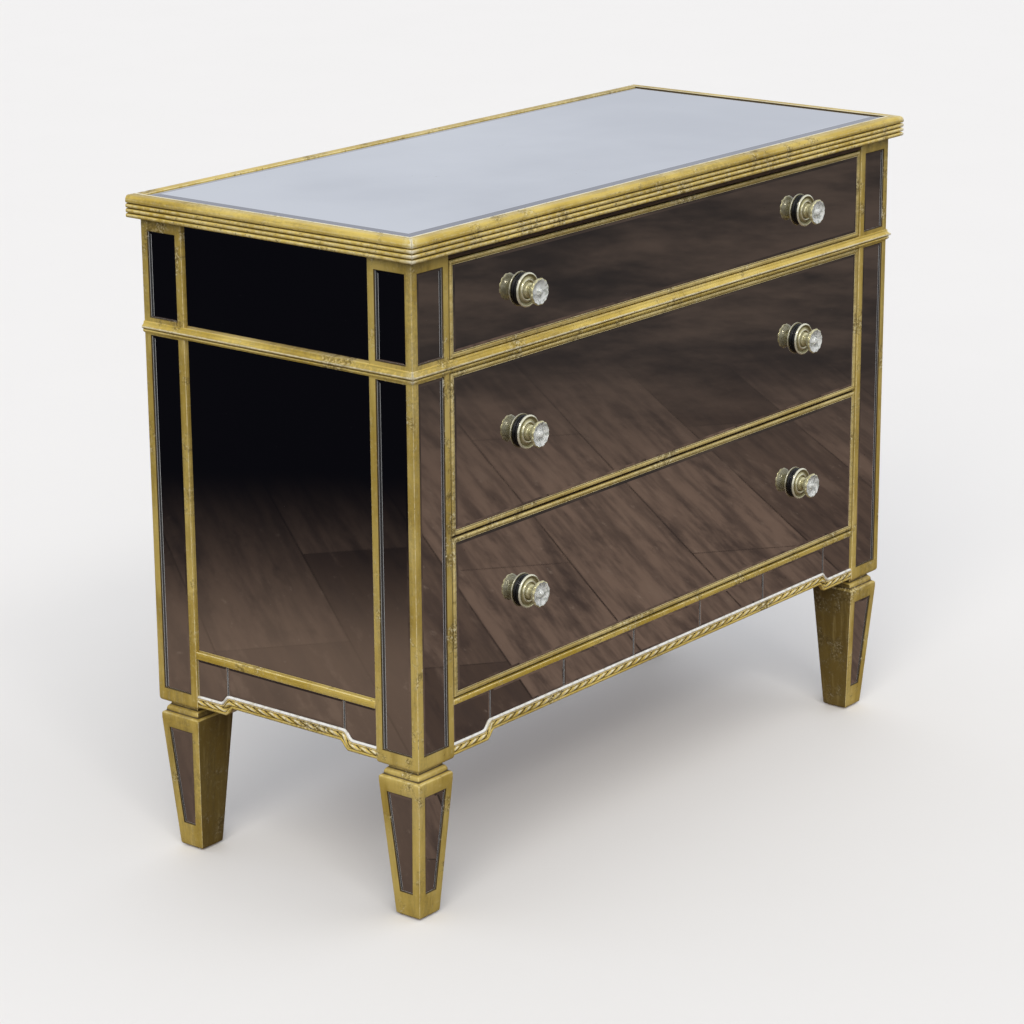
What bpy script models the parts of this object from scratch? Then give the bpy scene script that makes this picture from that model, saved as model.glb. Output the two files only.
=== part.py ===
"""Mirrored three-drawer chest of drawers: gilt wooden case, bevelled glass panels, crystal knobs.

Metres, +Z up, drawers towards -Y.  The origin is on the floor, at the middle of the
whole chest's footprint, knobs and top overhang included.
"""

import math

import bmesh
import bpy
from mathutils import Matrix, Vector

for old in list(bpy.data.objects):
    bpy.data.objects.remove(old, do_unlink=True)

# ---- driving dimensions -------------------------------------------------------------
HEIGHT = 0.8636            # floor to the top glass
BODY_WIDTH = 1.026         # over the outer faces of the posts
BODY_DEPTH = 0.4378
POST = 0.068               # square posts
POST_BOTTOM = 0.2026
GAP = 0.0003               # between pieces that touch
GLASS = 0.004              # thickness of every upright mirror

TOP_UNDERSIDE = 0.8354
TOP_GLASS = 0.005
TOP_BACK_OVERHANG = 0.0101
TOP_RIM_INNER = -0.004     # where the rim's inner edge lies, outwards of the posts' faces
TOP_RIM_OUTER = 0.0103
REED_TIP = 0.015
REED_PITCH = 0.0061
FIRST_TIP_Z = 0.8567

WAIST = (0.6898, 0.7044)   # the rail between the upper and the middle drawer
TOP_RAIL_BOTTOM = 0.8262
APRON_TOP_FRONT = 0.2785
APRON_TOP_SIDE = 0.2815
APRON_STRIP_BOTTOM = 0.2717
APRON_GLASS_LOW = (0.2222, 0.2335)   # lower edge of the glass, at the ends and in the middle
APRON_LOW = (0.2058, 0.2170)         # lower edge of the wood, the same way
APRON_THICKNESS = 0.020
APRON_RECESS = 0.0065
OGEE = 0.014               # length of the S-curve between the two levels

PANEL_MARGIN = 0.011       # gilt stile on each side of a post's glass
UPPER_PANEL = (0.7100, 0.8187)
LOWER_PANEL = (0.2220, 0.6866)
PANEL_DEPTH = 0.0052

SIDE_GLASS_RECESS = 0.0034
BOARD = 0.018
BACK_PANEL = (0.0120, 0.0060)        # its two faces, inwards of the posts' back faces

DRAWERS = {                # lowest and highest edge of each drawer's front
    "upper": (0.7056, 0.8246),
    "middle": (0.4864, 0.6880),
    "lower": (0.2812, 0.4836),
}
DRAWER_HALF_WIDTH = 0.4425
DRAWER_BOARD = 0.020
BEAD = 0.0066              # gilt bead round each drawer's glass
BEAD_RECESS = 0.0055
TRAY_DEPTH = 0.370
TRAY_WALL = 0.012
TRAY_BOTTOM = 0.008
TRAYS = {                  # lowest and highest edge of each drawer box
    "upper": (0.7075, 0.8060),
    "middle": (0.4955, 0.6680),
    "lower": (0.2820, 0.4700),
}
KNOB_X = 0.302
KNOB_NECK = 0.0125         # from the glass to the back of the crystal
KNOB_LENGTH = 0.0280       # from the glass to the front of the crystal

LEG_PROFILE = (            # half width and height, from the floor to the post
    (0.0190, 0.0),
    (0.0325, 0.1790),
    (0.0325, 0.1850),
    (0.0310, 0.1875),
    (0.0285, 0.1895),
    (0.0275, 0.1920),
    (0.0265, 0.1955),
    (0.0235, 0.1975),
    (0.0235, POST_BOTTOM - GAP),
)
LEG_PANEL = (0.035, 0.167)
LEG_STILE = 0.012

# ---- places worked out from them ----------------------------------------------------
GLASS_BEHIND_FACE = BEAD_RECESS - GAP - GLASS
KNOB_REACH = KNOB_LENGTH - GLASS_BEHIND_FACE
BODY_Y = (KNOB_REACH - TOP_BACK_OVERHANG) / 2
FRONT = BODY_Y - BODY_DEPTH / 2
BACK = BODY_Y + BODY_DEPTH / 2
SIDE = BODY_WIDTH / 2
TOP_BACK = BACK + TOP_BACK_OVERHANG
INNER_X = SIDE - POST              # inner faces of the posts
INNER_FRONT = FRONT + POST
INNER_BACK = BACK - POST
SIDE_BOARD_OUT = SIDE - SIDE_GLASS_RECESS - GLASS - GAP
SIDE_BOARD_IN = SIDE_BOARD_OUT - BOARD
BACK_IN = BACK - BACK_PANEL[0]
TRAY_FRONT = FRONT + DRAWER_BOARD + GAP
SIDES = {"left": -1, "right": 1}


# ---- materials ----------------------------------------------------------------------
def material(name, colour, roughness, metallic=0.0, transmission=0.0):
    made = bpy.data.materials.new(name)
    made.use_nodes = True
    shader = made.node_tree.nodes["Principled BSDF"]
    shader.inputs["Base Color"].default_value = (*colour, 1)
    shader.inputs["Roughness"].default_value = roughness
    shader.inputs["Metallic"].default_value = metallic
    shader.inputs["Transmission Weight"].default_value = transmission
    made.diffuse_color = (*colour, 1)
    return made


GILT = material("gold_leaf", (0.42, 0.31, 0.11), 0.42, 0.6)
MIRROR = material("mirror", (0.55, 0.53, 0.52), 0.04, 1.0)
TOP_MIRROR = material("top_mirror", (0.62, 0.62, 0.66), 0.08, 1.0)
WOOD = material("inner_wood", (0.42, 0.29, 0.17), 0.6)
BACKING = material("backing", (0.05, 0.04, 0.035), 0.7)
KNOB_METAL = material("knob_metal", (0.58, 0.54, 0.38), 0.3, 1.0)
CRYSTAL = material("crystal", (0.95, 0.96, 0.94), 0.02, 0.0, 1.0)


# ---- shapes -------------------------------------------------------------------------
def place(name, mesh, finish, location=(0, 0, 0), parent=None):
    """A new object, linked to the scene; location is in world space, also under a parent."""
    thing = bpy.data.objects.new(name, mesh)
    thing.data.materials.append(finish)
    bpy.context.scene.collection.objects.link(thing)
    if parent:
        thing.parent = parent
        location = Vector(location) - parent.location
    thing.location = location
    return thing


def finished(bm, name):
    bmesh.ops.recalc_face_normals(bm, faces=bm.faces)
    mesh = bpy.data.meshes.new(name)
    bm.to_mesh(mesh)
    bm.free()
    return mesh


def block_bmesh(size):
    bm = bmesh.new()
    bmesh.ops.create_cube(bm, size=1, matrix=Matrix.Diagonal((*size, 1)))
    return bm


def block(name, low, high, finish, parent=None):
    """A rectangular piece between two corners."""
    size = Vector(high) - Vector(low)
    middle = (Vector(high) + Vector(low)) / 2
    return place(name, finished(block_bmesh(size), name), finish, middle, parent)


def sunk_block(name, low, high, towards, border, depth, finish, parent=None):
    """A rectangular piece whose face towards one direction is sunk, leaving a border round it."""
    size = Vector(high) - Vector(low)
    middle = (Vector(high) + Vector(low)) / 2
    bm = block_bmesh(size)
    bm.normal_update()
    face = max(bm.faces, key=lambda f: f.normal.dot(Vector(towards)))
    bmesh.ops.inset_region(bm, faces=[face], thickness=border, use_even_offset=True)
    sunk = bmesh.ops.extrude_face_region(bm, geom=[face])
    moved = [v for v in sunk["geom"] if isinstance(v, bmesh.types.BMVert)]
    bmesh.ops.delete(bm, geom=[face], context="FACES_ONLY")
    bmesh.ops.translate(bm, verts=moved, vec=-Vector(towards) * depth)
    return place(name, finished(bm, name), finish, middle, parent)


def prism(name, outline, start, end, finish, to_world):
    """An outline of (a, b) points extruded from start to end; to_world turns (a, b, c) into x, y, z."""
    bm = bmesh.new()
    rings = [[bm.verts.new(to_world(a, b, c)) for a, b in outline] for c in (start, end)]
    bm.faces.new(rings[0])
    bm.faces.new(reversed(rings[1]))
    for i in range(len(outline)):
        j = (i + 1) % len(outline)
        bm.faces.new((rings[0][i], rings[0][j], rings[1][j], rings[1][i]))
    return place(name, finished(bm, name), finish)


def loft(name, rings, finish):
    """Rings of as many points each, joined one to the next and capped."""
    bm = bmesh.new()
    made = [[bm.verts.new(point) for point in ring] for ring in rings]
    for lower, upper in zip(made, made[1:]):
        for i in range(len(lower)):
            j = (i + 1) % len(lower)
            bm.faces.new((lower[i], lower[j], upper[j], upper[i]))
    bm.faces.new(made[0])
    bm.faces.new(made[-1])
    return place(name, finished(bm, name), finish)


def turned_mesh(name, profile, sides):
    """A solid turned about local Z from (radius, height) points; a radius of 0 is a pole."""
    bm = bmesh.new()
    rings = []
    for radius, height in profile:
        if radius == 0:
            rings.append([bm.verts.new((0, 0, height))])
            continue
        turn = [2 * math.pi * i / sides for i in range(sides)]
        rings.append([bm.verts.new((radius * math.cos(a), radius * math.sin(a), height)) for a in turn])
    for lower, upper in zip(rings, rings[1:]):
        for i in range(sides):
            j = (i + 1) % sides
            corners = (lower[i % len(lower)], lower[j % len(lower)],
                       upper[j % len(upper)], upper[i % len(upper)])
            bm.faces.new(list(dict.fromkeys(corners)))
    mesh = finished(bm, name)
    mesh.shade_smooth()
    mesh.set_sharp_from_angle(angle=math.radians(35))
    return mesh


def cut(thing, cutter):
    """Cuts a hidden mesh out of a piece."""
    cutter.hide_render = True
    cutter.display_type = "WIRE"
    subtract = thing.modifiers.new("cut_" + cutter.name, "BOOLEAN")
    subtract.object = cutter
    subtract.operation = "DIFFERENCE"
    subtract.solver = "EXACT"


# ---- the top: a board, a bevelled glass and a reeded rim on three sides ---------------
def reeded_profile():
    """(outwards, height) points of the rim: a flat top, an ovolo and three reeds under it."""
    points = [(TOP_RIM_INNER, HEIGHT), (TOP_RIM_OUTER, HEIGHT)]
    groove = REED_TIP - 0.0030
    ovolo_height = HEIGHT - FIRST_TIP_Z
    for step in range(1, 5):
        angle = math.radians(90 * step / 4)
        points.append((TOP_RIM_OUTER + (REED_TIP - TOP_RIM_OUTER) * math.sin(angle),
                       FIRST_TIP_Z + ovolo_height * math.cos(angle)))
    for reed in range(4):
        tip = FIRST_TIP_Z - reed * REED_PITCH
        if reed:
            points.append((REED_TIP - 0.0008, tip + 0.0018))
            points.append((REED_TIP, tip))
        points.append((REED_TIP - 0.0008, tip - 0.0018))
        points.append((groove, tip - REED_PITCH / 2))
    points[-1] = (groove, TOP_UNDERSIDE)
    points.append((TOP_RIM_INNER, TOP_UNDERSIDE))
    return points


def mitred_length(name, profile, finish, direction, end_back=None):
    """A moulding on the front (direction 0) or on one side (-1 or 1), mitred at the front corners."""
    if direction == 0:
        rings = [[(end * (SIDE + out), FRONT - out, z) for out, z in profile] for end in (-1, 1)]
    else:
        mitre_gap = 0.0005
        rings = [[(direction * (SIDE + out), FRONT - out + mitre_gap, z) for out, z in profile],
                 [(direction * (SIDE + out), end_back, z) for out, z in profile]]
    return loft(name, rings, finish)


rim = reeded_profile()
mitred_length("top_moulding_front", rim, GILT, 0)
for side, sign in SIDES.items():
    mitred_length("top_moulding_" + side, rim, GILT, sign, TOP_BACK)
rim_x = SIDE + TOP_RIM_INNER - GAP
rim_front = FRONT - TOP_RIM_INNER + GAP
glass_back = BACK + TOP_RIM_INNER
block("top_back_rail", (-rim_x, glass_back + GAP, TOP_UNDERSIDE), (rim_x, TOP_BACK, HEIGHT), GILT)
glass_low = HEIGHT - 0.0003 - TOP_GLASS
block("top_board", (-rim_x, rim_front, TOP_UNDERSIDE), (rim_x, glass_back, glass_low - GAP), WOOD)
block("top_mirror", (-rim_x, rim_front, glass_low), (rim_x, glass_back, HEIGHT - GAP), TOP_MIRROR)


# ---- posts, with a shallow seat for each glass panel ----------------------------------
def post(name, sign_x, sign_y, faces):
    low_x, high_x = sorted((sign_x * SIDE, sign_x * INNER_X))
    low_y, high_y = (FRONT, INNER_FRONT) if sign_y < 0 else (INNER_BACK, BACK)
    piece = block(name, (low_x, low_y, POST_BOTTOM), (high_x, high_y, TOP_UNDERSIDE - GAP), GILT)
    for face in faces:
        for level, (low, high) in (("upper", UPPER_PANEL), ("lower", LOWER_PANEL)):
            low_corner = [low_x + PANEL_MARGIN, low_y + PANEL_MARGIN, low]
            high_corner = [high_x - PANEL_MARGIN, high_y - PANEL_MARGIN, high]
            if face == "side":
                outer = sign_x * (SIDE + 0.01)
                inner = sign_x * (SIDE - PANEL_DEPTH)
                low_corner[0], high_corner[0] = sorted((outer, inner))
            else:
                low_corner[1], high_corner[1] = FRONT - 0.01, FRONT + PANEL_DEPTH
            seat = block(f"seat_{name}_{face}_{level}", low_corner, high_corner, BACKING)
            cut(piece, seat)
    return piece


for side, sign in SIDES.items():
    post("post_front_" + side, sign, -1, ("side", "front"))
    post("post_back_" + side, sign, 1, ("side",))


# ---- tapered legs: a necked square block with a glass seat on each outward face --------
def leg_half_width(z):
    (low_half, low_z), (high_half, high_z) = LEG_PROFILE[:2]
    return low_half + (high_half - low_half) * (z - low_z) / (high_z - low_z)


def leg_seat(name, centre, turn):
    """A cutter in the shape of a tapered panel, on the leg's face that -X turned by the angle meets."""
    rings = []
    for z in LEG_PANEL:
        half = leg_half_width(z)
        wide = half - LEG_STILE
        rings.append([(-half - 0.004, -wide, z), (-half - 0.004, wide, z),
                      (-half + PANEL_DEPTH, wide, z), (-half + PANEL_DEPTH, -wide, z)])
    seat = loft(name, rings, BACKING)
    seat.location = centre
    seat.rotation_euler = (0, 0, turn)
    return seat


def leg(name, sign_x, sign_y):
    centre = Vector((sign_x * (SIDE - POST / 2), FRONT + POST / 2 if sign_y < 0 else BACK - POST / 2, 0))
    rings = [[(half * x, half * y, z) for x, y in ((-1, -1), (1, -1), (1, 1), (-1, 1))]
             for half, z in LEG_PROFILE]
    piece = loft(name, rings, GILT)
    piece.location = centre
    cut(piece, leg_seat("seat_" + name + "_side", centre, 0 if sign_x < 0 else math.pi))
    if sign_y < 0:
        cut(piece, leg_seat("seat_" + name + "_front", centre, math.pi / 2))
    return piece


for side, sign in SIDES.items():
    leg("leg_front_" + side, sign, -1)
    leg("leg_back_" + side, sign, 1)


# ---- aprons: a scalloped board with a seat for its glass above a lip ------------------
def scallop(half_length, turn_at, levels):
    """The lower edge from the left end to the right: low ends, an S-curve up, a straight middle."""
    end_z, middle_z = levels
    rise = []
    for step in range(7):
        share = step / 6
        rise.append((-turn_at - OGEE * (1 - share),
                     end_z + (middle_z - end_z) * (1 - math.cos(math.pi * share)) / 2))
    left = [(-half_length, end_z)] + rise
    return left + [(-a, z) for a, z in reversed(left)]


def apron(name, half_length, turn_at, top, to_world):
    """The board; to_world takes (along, height, depth behind the post's face)."""
    wood = scallop(half_length, turn_at - 0.008, APRON_LOW)
    wood += [(half_length, top), (-half_length, top)]
    piece = prism(name, wood, 0, APRON_THICKNESS, GILT, to_world)
    seat = scallop(half_length + 0.01, turn_at, APRON_GLASS_LOW)
    seat += [(half_length + 0.01, APRON_STRIP_BOTTOM), (-half_length - 0.01, APRON_STRIP_BOTTOM)]
    cut(piece, prism("seat_" + name, seat, -0.01, APRON_RECESS, BACKING, to_world))
    glass_low = [(a, z + GAP) for a, z in scallop(half_length - GAP, turn_at, APRON_GLASS_LOW)]
    glass_top = APRON_STRIP_BOTTOM - GAP
    glass = glass_low + [(half_length - GAP, glass_top), (-half_length + GAP, glass_top)]
    prism(name.replace("apron", "apron_mirror"), glass,
          APRON_RECESS - GAP - GLASS, APRON_RECESS - GAP, MIRROR, to_world)


apron("apron_front", INNER_X - GAP, 0.3725, APRON_TOP_FRONT, lambda a, z, c: (a, FRONT + c, z))
half_side = (INNER_BACK - INNER_FRONT) / 2 - GAP
for side, sign in SIDES.items():
    apron("apron_" + side, half_side, 0.0975, APRON_TOP_SIDE,
          lambda a, z, c, sign=sign: (sign * (SIDE - c), BODY_Y + a, z))


# ---- sides: a board between the posts, a waist rail on it, glass above and below ------
def between_posts(name, sign, heights, outer, inner, finish):
    """A flat piece on one side; outer and inner are its faces' distances from the middle."""
    xs = sorted((sign * outer, sign * inner))
    return block(name, (xs[0], INNER_FRONT + GAP, heights[0]), (xs[1], INNER_BACK - GAP, heights[1]), finish)


case_top = TOP_UNDERSIDE - GAP
glass_out = SIDE - SIDE_GLASS_RECESS
glass_in = glass_out - GLASS
above_apron = APRON_TOP_SIDE + GAP
for side, sign in SIDES.items():
    between_posts("side_board_" + side, sign, (above_apron, case_top), SIDE_BOARD_OUT, SIDE_BOARD_IN, WOOD)
    between_posts("side_rail_" + side, sign, WAIST, SIDE, SIDE_BOARD_OUT + GAP, GILT)
    between_posts("side_mirror_upper_" + side, sign, (WAIST[1] + GAP, case_top), glass_out, glass_in, MIRROR)
    between_posts("side_mirror_lower_" + side, sign, (above_apron, WAIST[0] - GAP), glass_out, glass_in, MIRROR)

# ---- waist moulding: a small cornice planted on the posts and rails -------------------
waist_profile = [            # outwards from the posts, and height
    (GAP, WAIST[1]),
    (0.0012, WAIST[1]),
    (0.0026, 0.7010),        # cove
    (0.0050, 0.6985),        # nose
    (0.0050, 0.6958),
    (0.0026, 0.6945),        # quirk
    (0.0028, 0.6918),        # bead
    (0.0018, WAIST[0]),
    (GAP, WAIST[0]),
]
mitred_length("waist_moulding_front", waist_profile, GILT, 0)
for side, sign in SIDES.items():
    mitred_length("waist_moulding_" + side, waist_profile, GILT, sign, BACK)

# ---- rails, panels and runners inside the case ----------------------------------------
rail_x = INNER_X - GAP
block("top_rail", (-rail_x, FRONT + 0.001, TOP_RAIL_BOTTOM), (rail_x, INNER_FRONT, TOP_UNDERSIDE - GAP), GILT)
block("waist_rail", (-rail_x, FRONT, WAIST[0]), (rail_x, FRONT + 0.060, WAIST[1]), GILT)
block("back_panel", (-rail_x, BACK_IN, POST_BOTTOM + 0.010),
      (rail_x, BACK - BACK_PANEL[1], TOP_UNDERSIDE - GAP), BACKING)


def notched_panel(name, front, low, high):
    """A horizontal panel that fills the case and is notched round the posts."""
    wide = SIDE_BOARD_IN - GAP
    narrow = INNER_X - GAP
    near, far = INNER_FRONT + GAP, INNER_BACK - GAP
    back = BACK_IN - GAP
    right = [(narrow, front), (narrow, near), (wide, near), (wide, far), (narrow, far), (narrow, back)]
    outline = right + [(-x, y) for x, y in reversed(right)]
    prism(name, outline, low, high, WOOD, lambda x, y, z: (x, y, z))


notched_panel("dust_board", FRONT + 0.060 + GAP, WAIST[0] + 0.002, WAIST[1] + 0.002)
notched_panel("base_panel", FRONT + APRON_THICKNESS + GAP, APRON_TOP_FRONT - 0.016, APRON_TOP_FRONT)
for side, sign in SIDES.items():
    reach = sorted((sign * (SIDE_BOARD_IN - GAP), sign * (INNER_X - 0.022)))
    block("runner_" + side, (reach[0], INNER_FRONT + GAP, TRAYS["middle"][0] - 0.0185),
          (reach[1], INNER_BACK - GAP, TRAYS["middle"][0] - GAP), WOOD)

# ---- drawers: box, beaded front, bevelled glass and two crystal knobs ------------------
base_mesh = turned_mesh("knob_base", [       # radius and distance from the glass
    (0, 0),
    (0.0200, 0),             # black washer
    (0.0200, 0.0040),
    (0.0215, 0.0044),        # plate
    (0.0215, 0.0062),
    (0.0195, 0.0070),
    (0.0155, 0.0058),
    (0.0125, 0.0072),
    (0.0085, 0.0088),        # collar
    (0.0080, 0.0110),
    (0.0066, KNOB_NECK),
    (0, KNOB_NECK),
], 24)
crystal_depth = KNOB_LENGTH - KNOB_NECK - 2 * GAP
crystal_mesh = turned_mesh("knob_crystal", [  # radius and distance from the neck
    (0, 0),
    (0.0068, 0),
    (0.0100, 0.0025),
    (0.0155, 0.0080),
    (0.0172, 0.0107),        # girdle
    (0.0172, 0.0120),
    (0.0160, 0.0140),
    (0.0050, crystal_depth),
    (0, crystal_depth),
], 20)

for level, (low, high) in DRAWERS.items():
    slide = bpy.data.objects.new("drawer_" + level, None)
    bpy.context.scene.collection.objects.link(slide)
    slide.location = (0, FRONT, (low + high) / 2)
    sunk_block("drawer_front_" + level, (-DRAWER_HALF_WIDTH, FRONT, low),
               (DRAWER_HALF_WIDTH, FRONT + DRAWER_BOARD, high), (0, -1, 0), BEAD, BEAD_RECESS, GILT, slide)
    glass_front = FRONT + GLASS_BEHIND_FACE
    edge = BEAD + GAP
    block("drawer_mirror_" + level, (-DRAWER_HALF_WIDTH + edge, glass_front, low + edge),
          (DRAWER_HALF_WIDTH - edge, glass_front + GLASS, high - edge), MIRROR, slide)
    tray_low, tray_high = TRAYS[level]
    tray_x = DRAWER_HALF_WIDTH - 0.001
    sunk_block("drawer_box_" + level, (-tray_x, TRAY_FRONT, tray_low),
               (tray_x, TRAY_FRONT + TRAY_DEPTH, tray_high), (0, 0, 1),
               TRAY_WALL, tray_high - tray_low - TRAY_BOTTOM, WOOD, slide)
    for side, sign in SIDES.items():
        for part, mesh, finish, start in (("base", base_mesh, KNOB_METAL, 0),
                                          ("crystal", crystal_mesh, CRYSTAL, KNOB_NECK + GAP)):
            spot = (sign * KNOB_X, glass_front - GAP - start, (low + high) / 2)
            knob = place(f"knob_{part}_{level}_{side}", mesh.copy(), finish, spot, slide)
            knob.data.materials.clear()
            knob.data.materials.append(finish)
            knob.rotation_euler = (math.pi / 2, 0, 0)
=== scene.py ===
import math

import bmesh
import bpy
from mathutils import Matrix, Vector


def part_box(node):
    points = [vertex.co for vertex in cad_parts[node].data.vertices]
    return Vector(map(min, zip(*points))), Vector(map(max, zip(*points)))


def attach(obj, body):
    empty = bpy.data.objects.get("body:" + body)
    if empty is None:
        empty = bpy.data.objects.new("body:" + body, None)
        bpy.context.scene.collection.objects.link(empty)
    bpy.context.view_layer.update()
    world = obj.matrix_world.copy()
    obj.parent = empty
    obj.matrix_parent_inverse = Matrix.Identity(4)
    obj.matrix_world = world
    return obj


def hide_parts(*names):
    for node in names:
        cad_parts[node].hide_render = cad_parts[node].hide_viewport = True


# Mirrored three-drawer chest in antique gold leaf, dressed over the CAD frame.
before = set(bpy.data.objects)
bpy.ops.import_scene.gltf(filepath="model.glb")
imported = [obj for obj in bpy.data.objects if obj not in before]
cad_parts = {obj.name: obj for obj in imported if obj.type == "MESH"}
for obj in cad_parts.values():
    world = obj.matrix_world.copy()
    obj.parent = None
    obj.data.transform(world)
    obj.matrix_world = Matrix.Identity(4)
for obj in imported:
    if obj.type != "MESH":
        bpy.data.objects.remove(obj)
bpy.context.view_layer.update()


# ========================
# Stage: a plain pale floor, soft studio light and the camera.  The mirrors need something
# to reflect, so reflections and bounced light alone see a glowing plane, no lamp: a painted
# reflection of a brown boarded floor, whose painted shade makes it fall away into the dark.
class Paint:
    """A material in the making: its node tree, its shader and the object's own coordinates."""

    def __init__(self, name):
        self.material = bpy.data.materials.new(name)
        self.material.use_nodes = True
        self.tree = self.material.node_tree
        self.shader = self.tree.nodes["Principled BSDF"].inputs
        self.place = self.node("ShaderNodeTexCoord").outputs["Object"]

    def feed(self, socket, value):
        """Gives a socket a number, a colour or another node's output."""
        if isinstance(value, bpy.types.NodeSocket):
            self.tree.links.new(value, socket)
        elif socket.type == "RGBA":
            socket.default_value = (*value, 1)
        else:
            socket.default_value = value

    def node(self, kind, inputs=None, **settings):
        made = self.tree.nodes.new(kind)
        for key, value in settings.items():
            setattr(made, key, value)
        for key, value in (inputs or {}).items():
            self.feed(made.inputs[key], value)
        return made

    def put(self, name, value):
        self.feed(self.shader[name], value)

    def mix(self, factor, first, second):
        return self.node("ShaderNodeMix", {0: factor, 6: first, 7: second}, data_type="RGBA").outputs[2]

    def span(self, value, from_low, from_high, to_low=0.0, to_high=1.0):
        """A value stretched smoothly from one range to another and held at its ends."""
        ranges = {0: value, 1: from_low, 2: from_high, 3: to_low, 4: to_high}
        return self.node("ShaderNodeMapRange", ranges, interpolation_type="SMOOTHSTEP").outputs[0]

    def maths(self, operation, first, second=0.0):
        return self.node("ShaderNodeMath", {0: first, 1: second}, operation=operation).outputs[0]

    def times(self, first, second):
        return self.maths("MULTIPLY", first, second)

    def wear(self):
        """How bright the mesh paints a place: above 0 for rubbing and painted highlight, below 0 for a
        hollow with dark glazing and painted shade.
        """
        return self.node("ShaderNodeAttribute", attribute_name="wear").outputs["Fac"]

    def scaled(self, scale, rotation=(0, 0, 0), place=None):
        """The coordinates turned and scaled, so that noise over them comes out as streaks."""
        inputs = {"Vector": place or self.place, "Scale": scale, "Rotation": rotation}
        return self.node("ShaderNodeMapping", inputs).outputs[0]

    def cloud(self, scale, detail=4.0, roughness=0.55, place=None):
        """Fractal noise from 0 to 1."""
        inputs = {"Vector": place or self.place, "Scale": scale, "Detail": detail, "Roughness": roughness}
        return self.node("ShaderNodeTexNoise", inputs).outputs[0]

    def bump(self, strength, distance, height):
        inputs = {"Strength": strength, "Distance": distance, "Height": height}
        self.put("Normal", self.node("ShaderNodeBump", inputs).outputs[0])


def plain_paint(name, first, second, noise, spread, roughness, metallic=0.0, streaks=(1, 1, 1)):
    """A coat that drifts between two colours over noise of (scale, detail).

    spread is the part of the noise that counts; roughness is a number or (scale, low, high).
    """
    p = Paint(name)
    drift = p.cloud(*noise, place=p.scaled(streaks))
    p.put("Base Color", p.mix(p.span(drift, *spread) if spread else drift, first, second))
    p.put("Metallic", metallic)
    if isinstance(roughness, tuple):
        scale, low, high = roughness
        roughness = p.span(p.cloud(scale), 0.3, 0.7, low, high)
    p.put("Roughness", roughness)
    return p.material


def plane(name, half, height, material):
    mesh = bpy.data.meshes.new(name)
    corners = [(-half, -half, height), (half, -half, height), (half, half, height), (-half, half, height)]
    mesh.from_pydata(corners, [], [(0, 1, 2, 3)])
    mesh.materials.append(material)
    made = bpy.data.objects.new(name, mesh)
    bpy.context.scene.collection.objects.link(made)
    return made


floor_paint = plain_paint("stage_floor", (0.800, 0.782, 0.755), (0.818, 0.800, 0.773), (3.0,), None, 0.7)
floor = plane("stage_floor", 40.0, 0.0, floor_paint)
floor.visible_glossy = False
floor.visible_diffuse = False

BOARD_PALE = (0.205, 0.140, 0.106)
BOARD_DARK = (0.072, 0.049, 0.039)
BOARD_JOINT = (0.030, 0.022, 0.018)
FLOOR_FADE = (1.45, 2.85)          # metres from the chest where the painted shade on the boards begins and ends
DARK_SIDE = 0.50                   # how much sooner the painted shade comes on towards the left
# A glowing plane, no lamp: its boards are a painted reflection for the mirrors and give bounced light from
# below.
p = Paint("stage_reflected_floor")
p.tree.nodes.remove(p.tree.nodes["Principled BSDF"])
laid = p.scaled((1, 1, 1), (0, 0, 0.895))
boards = p.node("ShaderNodeTexBrick", {
    "Vector": laid, "Color1": BOARD_PALE, "Color2": BOARD_DARK, "Mortar": BOARD_JOINT, "Scale": 1.0,
    "Mortar Size": 0.0018, "Mortar Smooth": 0.4, "Bias": 0.0, "Brick Width": 1.25, "Row Height": 0.21,
}, offset=0.37, squash=1.0).outputs[0]
figure = p.cloud(1.6, 9.0, 0.68, place=p.scaled((1.5, 24.0, 1.0), place=laid))
boards = p.mix(p.span(figure, 0.40, 0.64, 0.0, 0.70), boards, (0.066, 0.047, 0.040))
worn = p.cloud(2.0, 10.0, 0.70, place=p.scaled((1.3, 7.5, 1), place=laid))
boards = p.mix(p.span(worn, 0.50, 0.66, 0.0, 0.60), boards, (0.036, 0.027, 0.026))
boards = p.mix(p.span(worn, 0.46, 0.34, 0.0, 0.45), boards, (0.225, 0.158, 0.120))
scuffs = p.cloud(1.6, 8.0, 0.72, place=p.scaled((9, 34, 1), (0, 0, 0.5), place=laid))
boards = p.mix(p.span(scuffs, 0.60, 0.72, 0.0, 0.55), boards, (0.340, 0.260, 0.205))
away = p.node("ShaderNodeVectorMath", {0: p.place}, operation="LENGTH").outputs["Value"]
leftwards = p.span(p.node("ShaderNodeSeparateXYZ", {0: p.place}).outputs[0], 0.0, -1.9)
away = p.maths("ADD", away, p.times(leftwards, DARK_SIDE))
# A painted pool of light on the boards near the chest, on its left.
painted_light_near_left = p.times(leftwards, p.span(away, 2.30, 1.60, 0.0, 0.62))
boards = p.mix(painted_light_near_left, boards, (0.290, 0.205, 0.150))
# Painted shade: the boards darken to dim brown, and to black on the left, away from the chest.
dark = p.span(away, *FLOOR_FADE)
dim = p.mix(p.span(p.cloud(1.3, 10.0, 0.72), 0.36, 0.64), (0.098, 0.073, 0.060), (0.034, 0.029, 0.028))
gloom = p.mix(leftwards, dim, (0.004, 0.004, 0.006))
boards = p.mix(dark, boards, gloom)
glow = p.node("ShaderNodeEmission", {"Color": boards, "Strength": 1.0})
p.feed(p.tree.nodes["Material Output"].inputs["Surface"], glow.outputs[0])
p.material.cycles.emission_sampling = "NONE"
room = plane("stage_reflected_floor", 60.0, -0.0005, p.material)
room.visible_camera = False
room.visible_transmission = False
room.visible_volume_scatter = False
room.visible_shadow = False

world = bpy.data.worlds.new("studio")
bpy.context.scene.world = world
world.use_nodes = True
sky = world.node_tree.nodes["Background"].inputs
sky["Color"].default_value = (0.80, 0.83, 0.90, 1)
sky["Strength"].default_value = 0.86


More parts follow.
